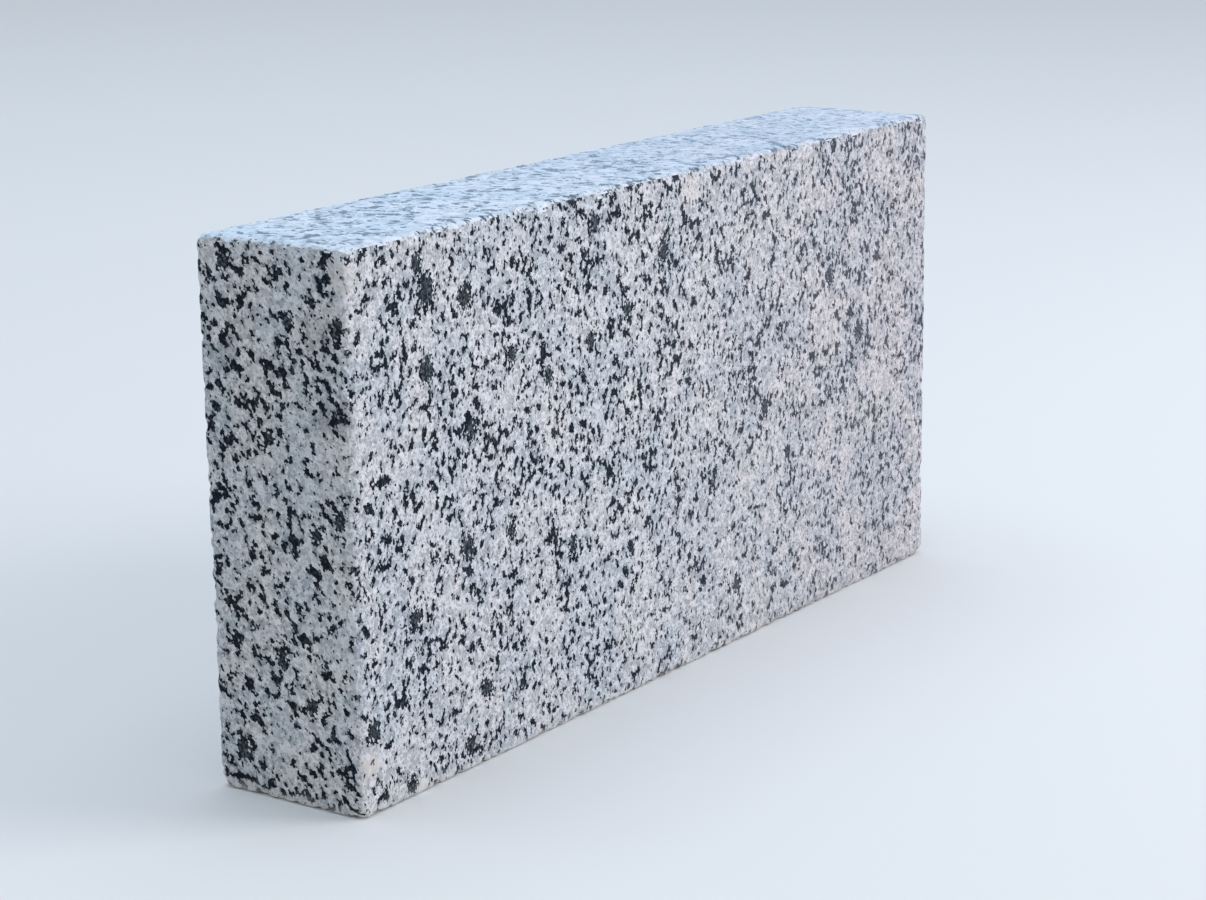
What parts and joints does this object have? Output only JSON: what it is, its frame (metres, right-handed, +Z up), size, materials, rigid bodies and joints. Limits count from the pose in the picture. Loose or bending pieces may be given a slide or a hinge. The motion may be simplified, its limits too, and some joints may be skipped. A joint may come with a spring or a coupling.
{
  "type": "kerb stone",
  "caption": "Rectangular granite kerb block with rubbed arrises and knocked corners, set on its narrow bed to edge a road, path or planting bed.",
  "frame": {"origin": "centre of the bed, the long narrow face that the stone stands on", "axes": "+X along the kerb, +Y from the road face to the back, +Z up"},
  "size_m": [0.6, 0.1, 0.3],
  "materials": {
    "granite": "flamed face, back and top, smoother sawn ends and bed"
  },
  "bodies": {
    "root": {"kerb_stone": "granite"}
  },
  "joints": []
}
